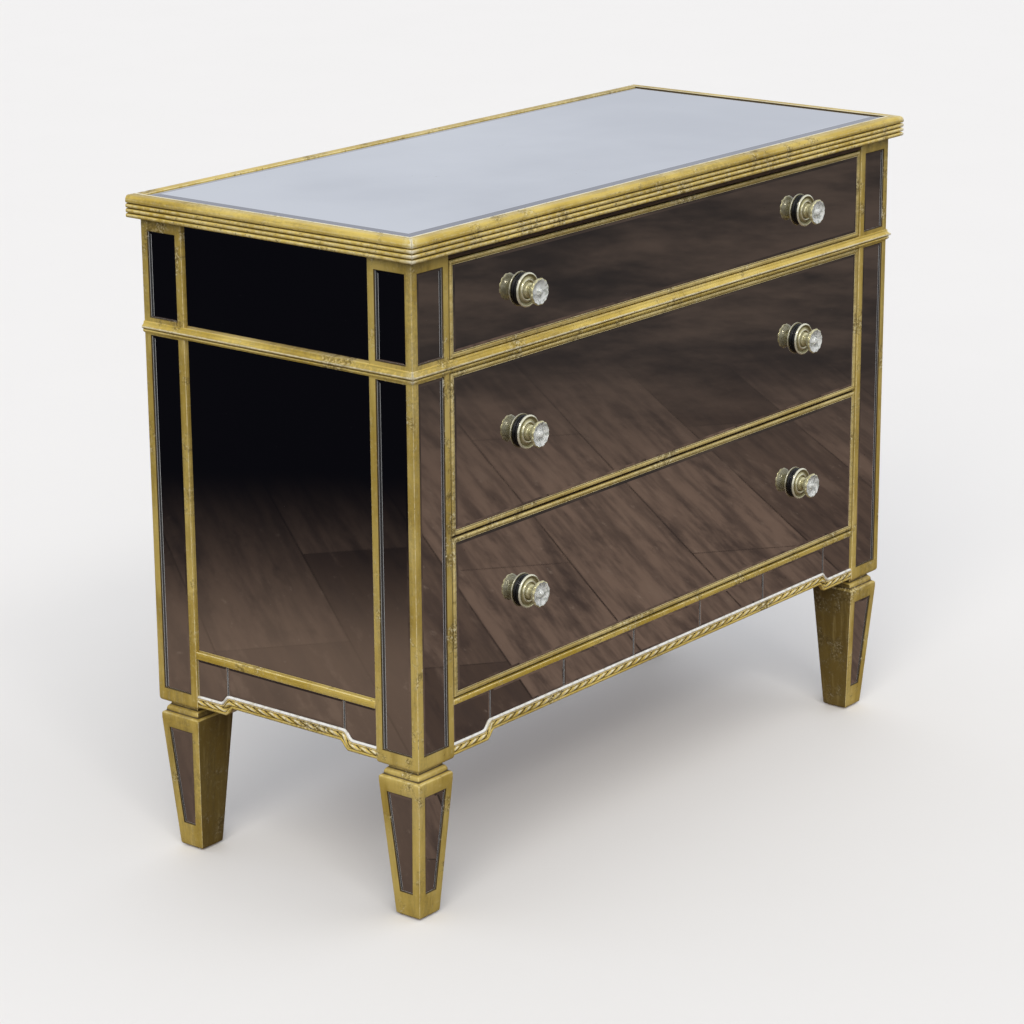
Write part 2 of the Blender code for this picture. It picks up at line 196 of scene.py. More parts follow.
def soft_light(name, comes_from, spread, power, colour, glints=False):
    """An even light from a patch of ceiling, so that the floor is lit alike everywhere."""
    lamp = bpy.data.lights.new(name, "SUN")
    lamp.angle = math.radians(spread)
    lamp.energy = power
    lamp.color = colour
    made = bpy.data.objects.new(name, lamp)
    made.location = comes_from
    made.rotation_euler = (-Vector(comes_from)).to_track_quat("-Z", "Y").to_euler()
    made.visible_glossy = glints
    bpy.context.scene.collection.objects.link(made)


soft_light("key", (-3.4, -2.2, 2.6), 42.0, 2.00, (1.0, 0.96, 0.89))
soft_light("fill", (2.6, -3.4, 2.2), 50.0, 0.25, (1.0, 0.98, 0.95))
soft_light("glint", (-1.6, -3.0, 2.8), 9.0, 0.34, (1.0, 0.98, 0.95), True)

CAMERA_PLACE = (-3.3133, -2.60375, 1.6338)
CAMERA_TURN = (-51.2693, -16.6399, -0.4075)      # yaw, pitch and roll in degrees
LENS = 114.44                                    # millimetres, for a sensor 36 mm wide
yaw, pitch, roll = (math.radians(angle) for angle in CAMERA_TURN)
lens = bpy.data.cameras.new("camera")
lens.lens = LENS
lens.sensor_width = 36.0
camera = bpy.data.objects.new("camera", lens)
camera.matrix_world = (Matrix.Translation(CAMERA_PLACE) @ Matrix.Rotation(yaw, 4, "Z")
                       @ Matrix.Rotation(math.pi / 2 + pitch, 4, "X") @ Matrix.Rotation(roll, 4, "Z"))
bpy.context.scene.collection.objects.link(camera)
bpy.context.scene.camera = camera
bpy.context.scene.view_settings.view_transform = "Standard"

# ========================
# Top rim: a softwood moulding on the front and both ends, mitred at the corners and water
# gilded: a flat beside the glass, an ovolo and three reeds, worn on the crests, with a painted
# highlight on the flat beside the glass, on a band of the ovolo and on the reeds, and glazed dark
# with painted shade in the grooves.  The back edge is a plain gilt strip.
SIDE = 0.513                                   # outer face of the posts, left and right
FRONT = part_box("post_front_left")[0].y         # front face of the posts
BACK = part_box("post_back_left")[1].y
TOP = 0.8636
OVERHANG_BACK = 0.0101
RIM_INNER = -0.0040
RIM_SHOULDER = 0.0100
RIM_TIP = 0.0149
OVOLO_LOW = 0.8567
REED_PITCH = 0.0061
RIM_UNDERSIDE = 0.8355
UNEVEN = 0.00012                               # how far hand work makes a moulding drift
MITRE_GAP = 0.0004


def gold_leaf(name, streaks, deep, pale, shade=0.0):
    """Ochre leaf over dark ground: cream, from rubbing and painted highlight, where the mesh's mark is
    above 0; brown glazing with painted shade where it is below.

    streaks scales the noise along x, y and z, so that the brush marks run along the piece;
    deep and pale are the leaf's two tones and shade how much painted shade darkens the whole leaf.
    """
    p = Paint(name)
    brushed = p.scaled(streaks)
    patches = p.cloud(9.0, 5.0)
    fine = p.cloud(170.0, 6.0, 0.66)
    strokes = p.cloud(1.0, 5.0, 0.6, place=brushed)
    leaf = p.mix(p.span(patches, 0.36, 0.64), deep, pale)
    leaf = p.mix(p.span(strokes, 0.50, 0.72, 0.0, 0.55), leaf, (0.330, 0.220, 0.035))
    leaf = p.mix(p.span(strokes, 0.46, 0.32, 0.0, 0.50), leaf, (0.760, 0.600, 0.230))
    leaf = p.mix(p.span(fine, 0.54, 0.70, 0.0, 0.40), leaf, (0.760, 0.640, 0.310))
    # Painted light from the mesh's marks: rubbing and a painted highlight on crests and edges, dark glazing
    # and painted shade in hollows and inner corners.
    wear = p.wear()
    broken = p.span(p.cloud(120.0, 5.0, 0.7), 0.40, 0.58, 0.10, 1.0)
    rubbed_and_lit = p.times(p.span(wear, 0.05, 1.0, 0.0, 0.75), broken)
    leaf = p.mix(rubbed_and_lit, leaf, (0.870, 0.760, 0.420))
    crest_wear_and_highlight = p.span(wear, 0.80, 0.98, 0.0, 0.70)
    leaf = p.mix(crest_wear_and_highlight, leaf, (0.930, 0.880, 0.690))
    glaze_and_shade = p.span(wear, -0.06, -0.9, 0.0, 0.95)
    leaf = p.mix(glaze_and_shade, leaf, (0.042, 0.025, 0.009))
    grit = p.cloud(260.0, 5.0, 0.72)
    chipped = p.span(p.cloud(17.0, 9.0, 0.72), 0.525, 0.630)
    spots = p.times(chipped, p.span(grit, 0.45, 0.55, 0.10, 1.0))
    pale_bits = p.times(chipped, p.span(grit, 0.46, 0.40, 0.0, 0.85))
    leaf = p.mix(pale_bits, leaf, (0.800, 0.740, 0.520))
    worn_edge = p.times(p.span(wear, 0.10, 0.50), p.span(grit, 0.51, 0.62))
    worn_edge = p.times(worn_edge, p.span(p.cloud(38.0, 6.0), 0.48, 0.62))
    film = p.cloud(0.35, 8.0, 0.74, place=brushed)
    film = p.times(p.span(film, 0.46, 0.64, 0.0, 0.62), p.span(fine, 0.38, 0.56, 0.3, 1.0))
    marks = p.maths("MAXIMUM", spots, p.maths("MAXIMUM", worn_edge, film))
    leaf = p.mix(p.times(marks, 0.80), leaf, (0.100, 0.068, 0.020))
    # Painted shade laid over the whole leaf, by the shade argument.
    leaf = p.mix(shade, leaf, (0.050, 0.034, 0.010))
    p.put("Base Color", leaf)
    dull = p.maths("MAXIMUM", marks, glaze_and_shade)
    p.put("Metallic", p.span(dull, 0.0, 1.0, 0.30, 0.05))
    gloss = p.span(fine, 0.30, 0.72, 0.30, 0.46)
    p.put("Roughness", p.maths("ADD", gloss, p.times(dull, 0.25)))
    p.bump(0.45, 0.0008, p.maths("SUBTRACT", p.times(fine, 0.5), p.times(marks, 0.7)))
    return p.material


GOLD = gold_leaf("gold_leaf", (7.0, 7.0, 190.0), (0.550, 0.385, 0.055), (0.740, 0.555, 0.130))
UPRIGHT_GOLD = gold_leaf("gold_leaf_upright", (60.0, 60.0, 9.0), (0.480, 0.340, 0.070),
                         (0.670, 0.510, 0.145))


def finish_piece(name, bm, materials, body, replaced=(), sharp=35):
    """Turns the mesh into a piece that rides on its CAD body and stands for the named nodes."""
    bmesh.ops.recalc_face_normals(bm, faces=bm.faces)
    mesh = bpy.data.meshes.new(name)
    bm.to_mesh(mesh)
    bm.free()
    mesh.shade_smooth()
    mesh.set_sharp_from_angle(angle=math.radians(sharp))
    for material in materials:
        mesh.materials.append(material)
    made = bpy.data.objects.new(name, mesh)
    bpy.context.scene.collection.objects.link(made)
    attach(made, body)
    if replaced:
        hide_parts(*replaced)
    return made


def skin(bm, rings, closed=False):
    """Joins rings of as many vertices each; caps both ends, or joins the last to the first."""
    pairs = list(zip(rings, rings[1:]))
    if closed:
        pairs.append((rings[-1], rings[0]))
    for lower, upper in pairs:
        for i in range(len(lower)):
            j = (i + 1) % len(lower)
            bm.faces.new((lower[i], lower[j], upper[j], upper[i]))
    if not closed:
        bm.faces.new(rings[0])
        bm.faces.new(rings[-1])


def ring_with_wear_and_light(bm, points):
    """A ring of vertices from (x, y, z, mark) points, the mark giving rubbing and painted light."""
    wear = bm.verts.layers.float.get("wear") or bm.verts.layers.float.new("wear")
    ring = []
    for *point, worn in points:
        ring.append(bm.verts.new(point))
        ring[-1][wear] = worn
    return ring


def moulding(name, profile, end_back, node):
    """A moulding along the front (side 0) and both ends from (outwards, height, mark) points, the mark
    giving rubbing and painted light.
    """
    for part, side, waves in (("front", 0, 66), ("left", -1, 30), ("right", 1, 30)):
        bm = bmesh.new()
        rings = []
        for step in range(waves + 1):
            share = step / waves
            at_mitre = step == 0 or (step == waves and not side)
            ring = []
            for out, z, worn in profile:
                out -= abs(UNEVEN * math.sin(37 * share + 900 * z) * math.sin(91 * share + 2 * side))
                if side:
                    start = FRONT - out + MITRE_GAP
                    place = (side * (SIDE + out), start + (end_back - start) * share)
                else:
                    place = ((2 * share - 1) * (SIDE + out), FRONT - out)
                ring.append((*place, z, 1.0 if at_mitre and worn > -0.5 else worn))
            rings.append(ring_with_wear_and_light(bm, ring))
        skin(bm, rings)
        finish_piece(f"{name}_{part}", bm, [GOLD], "case", [f"{node}_{part}"], 40)


def rim_profile():
    # The third numbers paint a highlight on the flat beside the glass, on one band of the ovolo and on the
    # reed tips, and painted shade with dark glazing in the grooves.
    points = [(RIM_INNER, TOP - 0.0002, -1.0), (RIM_INNER + 0.0006, TOP, 1.0),
              (RIM_INNER + 0.0040, TOP, 0.95), (RIM_INNER + 0.0052, TOP - 0.0003, -0.7),
              (RIM_INNER + 0.0062, TOP - 0.0001, 0.1), (0.0050, TOP, 0.0), (RIM_SHOULDER, TOP, 0.15)]
    for step in range(1, 7):
        angle = math.radians(15 * step)
        points.append((RIM_SHOULDER + (RIM_TIP - RIM_SHOULDER) * math.sin(angle),
                       OVOLO_LOW + (TOP - OVOLO_LOW) * math.cos(angle), 0.55 if step == 5 else 0.1))
    groove = RIM_TIP - 0.0034
    reed = REED_PITCH / 2 - 0.0003
    for number in range(4):
        middle = OVOLO_LOW - number * REED_PITCH
        for step in range(-3 if number else 1, 4):
            angle = math.radians(30 * step)
            out = groove
            worn = -1.0
            if abs(step) < 3:
                out += (RIM_TIP - groove) * math.cos(angle) ** 0.6
                worn = 0.75 if abs(step) <= 1 else -0.40
            points.append((out, middle - reed * math.sin(angle), worn))
    points[-1] = (groove, RIM_UNDERSIDE, -1.0)
    points.append((RIM_INNER, RIM_UNDERSIDE, 0.0))
    return points


moulding("top_rim", rim_profile(), BACK + OVERHANG_BACK, "top_moulding")


def mark_edges_worn_and_lit(bm):
    """Marks outer corners bright, worn and with a painted highlight, and inner corners dark, glazing with
    painted shade.
    """
    bm.normal_update()
    wear = bm.verts.layers.float.get("wear") or bm.verts.layers.float.new("wear")
    for vertex in bm.verts:
        turns = [math.degrees(e.calc_face_angle_signed(0)) for e in vertex.link_edges if e.is_manifold]
        turn = max(turns, key=abs, default=0)
        vertex[wear] = math.copysign(min(1, max(0, (abs(turn) - 18) / 14)), turn)


def round_edges(bm, radius, least=25):
    """Rounds every outer corner sharper than the least angle."""
    bm.normal_update()
    corners = [e for e in bm.edges if e.is_manifold and math.degrees(e.calc_face_angle_signed(0)) > least]
    bmesh.ops.bevel(bm, geom=corners, offset=radius, segments=3, profile=0.5, affect="EDGES",
                    clamp_overlap=True)
    mark_edges_worn_and_lit(bm)


def rounded_block(name, low, high, radius, material, slot, replaced=(), body="case"):
    bm = bmesh.new()
    low, high = Vector(low), Vector(high)
    bmesh.ops.create_cube(bm, size=1, matrix=Matrix.Translation((low + high) / 2)
                          @ Matrix.Diagonal((*(high - low), 1)))
    round_edges(bm, radius)
    return finish_piece(name, bm, [material], body, replaced)


def dressed(name, node, radius, material, slot):
    """A rounded block in the place of one CAD node."""
    rounded_block(name, *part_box(node), radius, material, slot, [node])


dressed("top_back_strip", "top_back_rail", 0.0012, GOLD, "gold_leaf")

# ========================
# Top glass: one 5 mm silvered plate with a wide ground bevel, laid loose in the rim on a
# wooden board that is screwed down to the posts.
TOP_BEVEL = 0.0160
GLASS = 0.0040


def mirror(name, silver, haze, tarnish, smear=0.020, lean=0.0, metal=1.0):
    """Silvered glass: faint clouds in the silver, more of them rightwards if it leans that way."""
    p = Paint(name)
    drift = p.cloud(2.2, 5.0, 0.5)
    if lean:
        along = p.node("ShaderNodeSeparateXYZ", {0: p.place}).outputs[0]
        drift = p.maths("ADD", drift, p.times(along, lean))
    colour = p.mix(p.span(drift, 0.32, 0.68), silver, haze)
    fox = p.times(p.span(p.cloud(210.0, 2.0), 0.66, 0.74), p.span(p.cloud(11.0, 3.0), 0.60, 0.72))
    p.put("Base Color", p.mix(p.times(fox, 0.6), colour, tarnish))
    p.put("Metallic", metal)
    p.put("Roughness", p.span(p.cloud(24.0, 6.0, 0.7), 0.50, 0.80, smear, smear + 0.035))
    p.bump(0.05, 0.002, p.cloud(3.5, 1.0))
    return p.material


def bevelled_glass(name, outer, inner, to_world, front, drop, thickness, materials, replaced=(),
                   body="case", slot="mirror", strips=((1, 1, 1),)):
    """A pane with a ground bevel between two outlines of (along, up) points.

    materials are the silvered face, the bevel, its bright arrises and the painted back, where
    a darker bevel carries painted shade and a pale arris a painted highlight line;
    strips picks one for the inner arris, the bevel and the outer arris of each side in turn;
    to_world takes (along, up, depth behind the frame's face).
    """
    bm = bmesh.new()
    rings = []
    for share in (0.0, 0.10, 0.88, 1.0):
        outline = [(a + (b - a) * share, c + (d - c) * share) for (a, c), (b, d) in zip(inner, outer)]
        rings.append([bm.verts.new(to_world(a, z, front + drop * share)) for a, z in outline])
    rings.append([bm.verts.new(to_world(a, z, front + thickness)) for a, z in outer])
    skin(bm, rings)
    bm.faces.ensure_lookup_table()
    sides = len(outer)
    for number, face in enumerate(bm.faces):
        band, side = divmod(number, sides)
        if band < 3:
            face.material_index = strips[side % len(strips)][band]
        elif band == 3:
            face.material_index = 1
    bm.faces[4 * sides + 1].material_index = 3
    return finish_piece(name, bm, materials, body, replaced, 3)


def frame_outlines(low, high, bevel):
    """The outer and inner outline of a rectangular pane; bevel is its width at each side."""
    left, bottom, right, top = bevel
    outer = [(low[0], low[1]), (high[0], low[1]), (high[0], high[1]), (low[0], high[1])]
    inner = [(low[0] + left, low[1] + bottom), (high[0] - right, low[1] + bottom),
             (high[0] - right, high[1] - top), (low[0] + left, high[1] - top)]
    return outer, inner


TOP_TARNISH = (0.30, 0.28, 0.24)
TOP_SILVER = mirror("top_mirror", (0.765, 0.785, 0.815), (0.600, 0.620, 0.660), TOP_TARNISH, 0.045, 0.30)
# The bevel is painted darker grey, painted shade, and its inner arris paler, a painted highlight line.
TOP_GROUND = mirror("top_bevel", (0.300, 0.302, 0.330), (0.250, 0.252, 0.280), (0.20, 0.18, 0.16), 0.07)
TOP_ARRIS = mirror("top_arris", (0.860, 0.870, 0.900), (0.800, 0.810, 0.850), TOP_TARNISH, 0.15)
p = Paint("backing")
stain = p.span(p.cloud(1.0, 6.0, place=p.scaled((90.0, 90.0, 5.0))), 0.30, 0.75)
stain = p.mix(stain, (0.050, 0.036, 0.026), (0.085, 0.062, 0.045))
stain = p.mix(p.span(p.cloud(4.0), 0.40, 0.75, 0.0, 0.5), stain, (0.038, 0.027, 0.020))
p.put("Base Color", stain)
p.put("Roughness", p.span(p.cloud(25.0), 0.3, 0.7, 0.55, 0.8))
BACK_PAINT = p.material

glass_low, glass_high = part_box("top_mirror")
outlines = frame_outlines((glass_low.x, glass_low.y), (glass_high.x, glass_high.y), 4 * [TOP_BEVEL])
bevelled_glass("top_glass", *outlines, lambda a, b, c: (a, b, glass_high.z - c), 0.0, 0.0011, 0.005,
               [TOP_SILVER, TOP_GROUND, TOP_ARRIS, BACK_PAINT], ["top_mirror"], slot="top_mirror",
               strips=((2, 1, 1),))


def timber(name, along, pale, deep):
    """Planed softwood whose grain runs along one axis (0, 1 or 2)."""
    p = Paint(name)
    stretch = [13.0, 13.0, 13.0]
    stretch[along] = 0.9
    long_way = p.scaled(stretch)
    rings = p.cloud(3.2, 5.0, 0.6, place=long_way)
    bands = p.maths("SINE", p.times(rings, 46.0))
    pores = p.cloud(40.0, 3.0, 0.7, place=long_way)
    colour = p.mix(p.span(bands, -1.0, 1.0, 0.0, 0.55), pale, deep)
    colour = p.mix(p.span(pores, 0.56, 0.72, 0.0, 0.6), colour, [c * 0.55 for c in deep])
    colour = p.mix(p.span(p.cloud(6.0), 0.35, 0.7, 0.0, 0.35), colour, deep)
    p.put("Base Color", colour)
    p.put("Roughness", p.span(pores, 0.3, 0.7, 0.48, 0.68))
    p.bump(0.25, 0.0004, pores)
    return p.material


PALE_WOOD = (0.520, 0.350, 0.190)
DEEP_WOOD = (0.330, 0.190, 0.090)
WOOD_X = timber("inner_wood_x", 0, PALE_WOOD, DEEP_WOOD)
WOOD_Y = timber("inner_wood_y", 1, PALE_WOOD, DEEP_WOOD)
dressed("top_board_planed", "top_board", 0.0008, WOOD_X, "inner_wood")

# ========================
# Corner posts: square softwood posts, gilded.  A shallow seat for an upper and a lower
# strip of mirror is cut in each outward face; the lower arris is rounded over the leg.
POST_HALF = 0.034
POST_STILE = 0.011
POST_BOTTOM = 0.2026
POST_TOP = 0.8351
UPPER_SEAT = (0.7100, 0.8187)
LOWER_SEAT = (0.2220, 0.6866)
SEAT_DEPTH = 0.0052
ARRIS_RADIUS = 0.0011
FRONT_FACE, RIGHT_FACE, LEFT_FACE = 1, 4, 10       # strips of a column's ring that can be sunk
SIDES = {"left": -1, "right": 1}
CORNERS = [("front", "left"), ("front", "right"), ("back", "left"), ("back", "right")]
# A darker copy of the upright gilding: painted shade for the legs' inward faces.
SHADED_GOLD = gold_leaf("gold_leaf_shaded", (150.0, 150.0, 5.0), (0.320, 0.215, 0.045),
                        (0.400, 0.290, 0.080), 0.62)


def column(name, centre, rings, sunk, radius, replaced, hidden=()):
    """A square column from (half width, stile, height) rings, with seats sunk in its faces.

    sunk holds (strip, lowest height, highest height) for each seat; faces that look the
    hidden ways get the darker gilding, painted shade.
    """
    bm = bmesh.new()
    made = []
    for half, stile, z in rings:
        w = half - stile
        outline = [(-half, -half), (-w, -half), (w, -half), (half, -half), (half, -w), (half, w),
                   (half, half), (w, half), (-w, half), (-half, half), (-half, w), (-half, -w)]
        made.append([bm.verts.new((centre[0] + x, centre[1] + y, z)) for x, y in outline])
    skin(bm, made)
    bmesh.ops.recalc_face_normals(bm, faces=bm.faces)
    bm.normal_update()
    bm.faces.ensure_lookup_table()
    inwards = {FRONT_FACE: Vector((0, 1, 0)), RIGHT_FACE: Vector((-1, 0, 0)), LEFT_FACE: Vector((1, 0, 0))}
    regions = []
    for strip, low, high in sunk:
        region = [bm.faces[12 * level + strip] for level in range(len(rings) - 1)
                  if low - 0.0001 < rings[level][2] and rings[level + 1][2] < high + 0.0001]
        regions.append((region, inwards[strip]))
    for region, inward in regions:
        pushed = bmesh.ops.extrude_face_region(bm, geom=region)
        moved = [v for v in pushed["geom"] if isinstance(v, bmesh.types.BMVert)]
        bmesh.ops.delete(bm, geom=region, context="FACES_ONLY")
        bmesh.ops.translate(bm, verts=moved, vec=inward * SEAT_DEPTH)
    bmesh.ops.recalc_face_normals(bm, faces=bm.faces)
    round_edges(bm, radius)
    bm.normal_update()
    # Inward faces take the darker gilding as painted shade.
    for face in bm.faces:
        if any(face.normal.dot(Vector(way)) > 0.8 for way in hidden):
            face.material_index = 1
    return finish_piece(name, bm, [UPRIGHT_GOLD, SHADED_GOLD], "case", replaced)


def column_centre(end, side):
    y = FRONT + POST_HALF if end == "front" else BACK - POST_HALF
    return SIDES[side] * (SIDE - POST_HALF), y


def outward_strips(end, side):
    outward = LEFT_FACE if side == "left" else RIGHT_FACE
    return [outward, FRONT_FACE] if end == "front" else [outward]


post_rings = [(POST_HALF - 0.0040, POST_BOTTOM), (POST_HALF - 0.0016, POST_BOTTOM + 0.0008),
              (POST_HALF - 0.0004, POST_BOTTOM + 0.0024), (POST_HALF, POST_BOTTOM + 0.0050),
              (POST_HALF, LOWER_SEAT[0]), (POST_HALF, LOWER_SEAT[1]),
              (POST_HALF, UPPER_SEAT[0]), (POST_HALF, UPPER_SEAT[1]), (POST_HALF, POST_TOP)]
post_rings = [(half, POST_STILE, z) for half, z in post_rings]
for end, side in CORNERS:
    seats = [(strip, *seat) for strip in outward_strips(end, side) for seat in (LOWER_SEAT, UPPER_SEAT)]
    column(f"gilt_post_{end}_{side}", column_centre(end, side), post_rings, seats, ARRIS_RADIUS,
           [f"post_{end}_{side}"])

# ========================
# Post mirrors: twelve narrow strips glued in the posts' seats, with a hairline of shadow left
# round each.  One long edge is bevelled: the one towards the back or the right of the chest.
SILVER = mirror("mirror", (0.760, 0.745, 0.735), (0.700, 0.685, 0.680), (0.25, 0.20, 0.15))
# The strips' bevels are painted dark, painted shade, and their arrises pale, painted highlight lines.
GROUND = mirror("mirror_bevel", (0.150, 0.152, 0.158), (0.100, 0.102, 0.106), (0.25, 0.20, 0.15),
                0.12, metal=0.7)
ARRIS = mirror("mirror_arris", (0.640, 0.660, 0.660), (0.420, 0.430, 0.430), (0.40, 0.35, 0.30),
               0.25, metal=0.1)
ONE_BEVEL = [SILVER, GROUND, ARRIS, BACK_PAINT]
ALL_SILVER = [SILVER, SILVER, SILVER, BACK_PAINT]
STRIP_FRONT = 0.0012                 # how far the strips lie behind the posts' faces
STRIP_THICK = 0.0038
BEVEL_DROP = 0.0003                  # how far a narrow bevel falls back
STRIP_BEVEL = (0.0030, 0.0014, 0.0052, 0.0030)       # left, bottom, right and top
STRIP_EDGES = ((0, 0, 2), (2, 1, 2), (0, 0, 0), (0, 0, 0))
SEAT_PLAY = 0.0006
TRIM = 0.0030                        # width of the bevel on the panes in the legs and the aprons


def side_face(sign, middle=0.0):
    """Takes (along, up, depth) to the left or right side of the chest."""
    return lambda a, z, c: (sign * (SIDE - c), middle + a, z)


def front_face(middle=0.0):
    return lambda a, z, c: (middle + a, FRONT + c, z)


strip_half = POST_HALF - POST_STILE - SEAT_PLAY
for end, side in CORNERS:
    x, y = column_centre(end, side)
    faces = {"side": side_face(SIDES[side], y)}
    if end == "front":
        faces["front"] = front_face(x)
    for face, to_world in faces.items():
        for height, (low, high) in (("lower", LOWER_SEAT), ("upper", UPPER_SEAT)):
            outlines = frame_outlines((-strip_half, low + SEAT_PLAY), (strip_half, high - SEAT_PLAY),
                                      STRIP_BEVEL)
            bevelled_glass(f"post_mirror_{end}_{side}_{face}_{height}", *outlines, to_world, STRIP_FRONT,
                           BEVEL_DROP, STRIP_THICK, ONE_BEVEL, strips=STRIP_EDGES)

# ========================
# Legs: tapered square softwood, dowelled up into the posts, with a neck, a stepped collar
# and a tapered mirror in each outward face; gilded like the posts.  Black nail-on glides.
LEG_STILE = 0.012
LEG_SEAT = (0.035, 0.167)
LEG_TAPER = (0.0190, 0.0325, 0.1790)       # half width at the floor, at the shoulder, shoulder's height
GLIDE = 0.0024


def leg_half(z):
    low, high, height = LEG_TAPER
    return low + (high - low) * z / height


leg_rings = [(leg_half(0) - 0.0012, GLIDE), (leg_half(0.004) - 0.0001, GLIDE + 0.0014)]
leg_rings += [(leg_half(z), z) for z in (0.010, *LEG_SEAT, LEG_TAPER[2])]
leg_rings += [(0.0325, 0.1846), (0.0322, 0.1856), (0.0314, 0.1866), (0.0300, 0.1873), (0.0284, 0.1882),
              (0.0279, 0.1894), (0.0279, 0.1912), (0.0276, 0.1926), (0.0268, 0.1942), (0.0254, 0.1955),
              (0.0240, 0.1966), (0.0235, 0.1980), (0.0235, 0.2022)]
leg_rings = [(half, LEG_STILE, z) for half, z in leg_rings]
for end, side in CORNERS:
    centre = column_centre(end, side)
    seats = [(strip, *LEG_SEAT) for strip in outward_strips(end, side)]
    inward = [(-SIDES[side], 0, 0), (0, 1 if end == "front" else -1, 0)]
    column(f"gilt_leg_{end}_{side}", centre, leg_rings, seats, ARRIS_RADIUS, [f"leg_{end}_{side}"], inward)
    faces = {"side": (SIDES[side], 0)} if end == "back" else {"side": (SIDES[side], 0), "front": (0, -1)}
    for face, (dx, dy) in faces.items():
        def to_leg(a, z, c, dx=dx, dy=dy, centre=centre):
            out = leg_half(z) - c
            return centre[0] + dx * out + abs(dy) * a, centre[1] + dy * out + abs(dx) * a, z
        low, high = LEG_SEAT[0] + SEAT_PLAY, LEG_SEAT[1] - SEAT_PLAY
        wide = [leg_half(z) - LEG_STILE - SEAT_PLAY for z in (low, high)]
        outer = [(-wide[0], low), (wide[0], low), (wide[1], high), (-wide[1], high)]
        inner = [(-wide[0] + TRIM, low + TRIM), (wide[0] - TRIM, low + TRIM),
                 (wide[1] - TRIM, high - TRIM), (-wide[1] + TRIM, high - TRIM)]
        bevelled_glass(f"leg_mirror_{end}_{side}_{face}", outer, inner, to_leg, STRIP_FRONT,
                       BEVEL_DROP, STRIP_THICK, ONE_BEVEL, strips=STRIP_EDGES)

RUBBER = plain_paint("glide", (0.016, 0.014, 0.013), (0.040, 0.034, 0.030), (300.0,), None, 0.55)
for end, side in CORNERS:
    x, y = column_centre(end, side)
    bm = bmesh.new()
    rings = []
    for radius, z in ((0.0120, 0.0), (0.0132, 0.0004), (0.0136, 0.0012), (0.0136, GLIDE + 0.0002)):
        rings.append([bm.verts.new((x + radius * math.cos(a), y + radius * math.sin(a), z))
                      for a in (math.tau * i / 32 for i in range(32))])
    skin(bm, rings)
    finish_piece(f"glide_{end}_{side}", bm, [RUBBER], "case")

# ========================
# Sides: between the posts a board carries two sheets of bevelled mirror, one above and one
# below a gilt waist rail.  The glass is glued to the board and butts on the posts.
SHEET_RECESS = 0.0034
SHEET_BEVEL = 4 * [0.0032]
for side, sign in SIDES.items():
    for height in ("upper", "lower"):
        low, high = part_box(f"side_mirror_{height}_{side}")
        outlines = frame_outlines((low.y, low.z), (high.y, high.z), SHEET_BEVEL)
        bevelled_glass(f"side_sheet_{height}_{side}", *outlines, side_face(sign), SHEET_RECESS, BEVEL_DROP,
                       GLASS, ALL_SILVER, [f"side_mirror_{height}_{side}"])
    dressed(f"side_core_{side}", f"side_board_{side}", 0.0006, WOOD_Y, "inner_wood")
    dressed(f"side_waist_{side}", f"side_rail_{side}", 0.0008, GOLD, "gold_leaf")

# ========================
# Waist moulding: a slim cornice pinned and glued over the joint, a cove above a round nose
# and a small bead under it, mitred at the front corners and gilded in place.
# Third numbers: the round nose is painted bright, worn and with a painted highlight; the cove and the
# hollow under the nose get dark glazing with painted shade.
waist = [
    (0.0003, 0.7043, 0.0), (0.0010, 0.7043, 0.3), (0.0013, 0.7038, 0.0), (0.0014, 0.7026, -0.3),
    (0.0018, 0.7012, -0.1), (0.0026, 0.7000, 0.0), (0.0036, 0.6992, 0.1), (0.0041, 0.6988, 0.1),
    (0.0047, 0.6984, 0.6), (0.0050, 0.6976, 1.0), (0.0050, 0.6966, 0.9), (0.0047, 0.6958, 0.3),
    (0.0040, 0.6953, 0.0), (0.0031, 0.6949, -0.7), (0.0022, 0.6946, -1.0), (0.0022, 0.6942, -1.0),
    (0.0028, 0.6936, 0.0), (0.0031, 0.6926, 0.6), (0.0029, 0.6916, 0.4), (0.0022, 0.6909, -0.2),
    (0.0017, 0.6904, -0.4), (0.0017, 0.6899, 0.0), (0.0003, 0.6899, 0.0),
]
moulding("waist_cornice", waist, BACK, "waist_moulding")

# ========================
# Aprons: a scalloped board between the posts.  Small mirrors lie side by side above a lower
# moulding that is carved as a twisted ribbon; a pale burnished slip covers their lower edge.
APRON_THICK = 0.020
APRON_SEAT = 0.0065
APRON_GLASS = 0.0022
APRON_LOW = (0.2058, 0.2170)         # lower edge at the ends and in the middle
APRON_GLASS_LOW = (0.2222, 0.2335)
APRON_STRIP = 0.2717
OGEE = 0.014
TWIST_PITCH = 0.0190
LEAD = 0.008                         # how far the lower edge turns down before the glass does
PANE_GAP = 0.0008
JOINT_PLAY = 0.0003

SLIP = plain_paint("burnished_slip", (0.860, 0.850, 0.800), (0.640, 0.600, 0.480), (120.0, 5.0),
                   (0.42, 0.68), (60.0, 0.18, 0.35), 0.35)


def scallop(half, turn, levels, counts):
    """An edge from left to right: a low end, an S-curve up, a straight middle and down again."""
    low, high = levels
    ends, curve, middle = counts
    points = [(-half + (half - turn - OGEE) * i / ends, low) for i in range(ends)]
    for i in range(curve):
        share = i / curve
        rise = (high - low) * (1 - math.cos(math.pi * share)) / 2
        points.append((-turn - OGEE * (1 - share), low + rise))
    points += [(-turn * (1 - i / middle), high) for i in range(middle)]
    return points + [(0.0, high)] + [(-a, z) for a, z in reversed(points)]


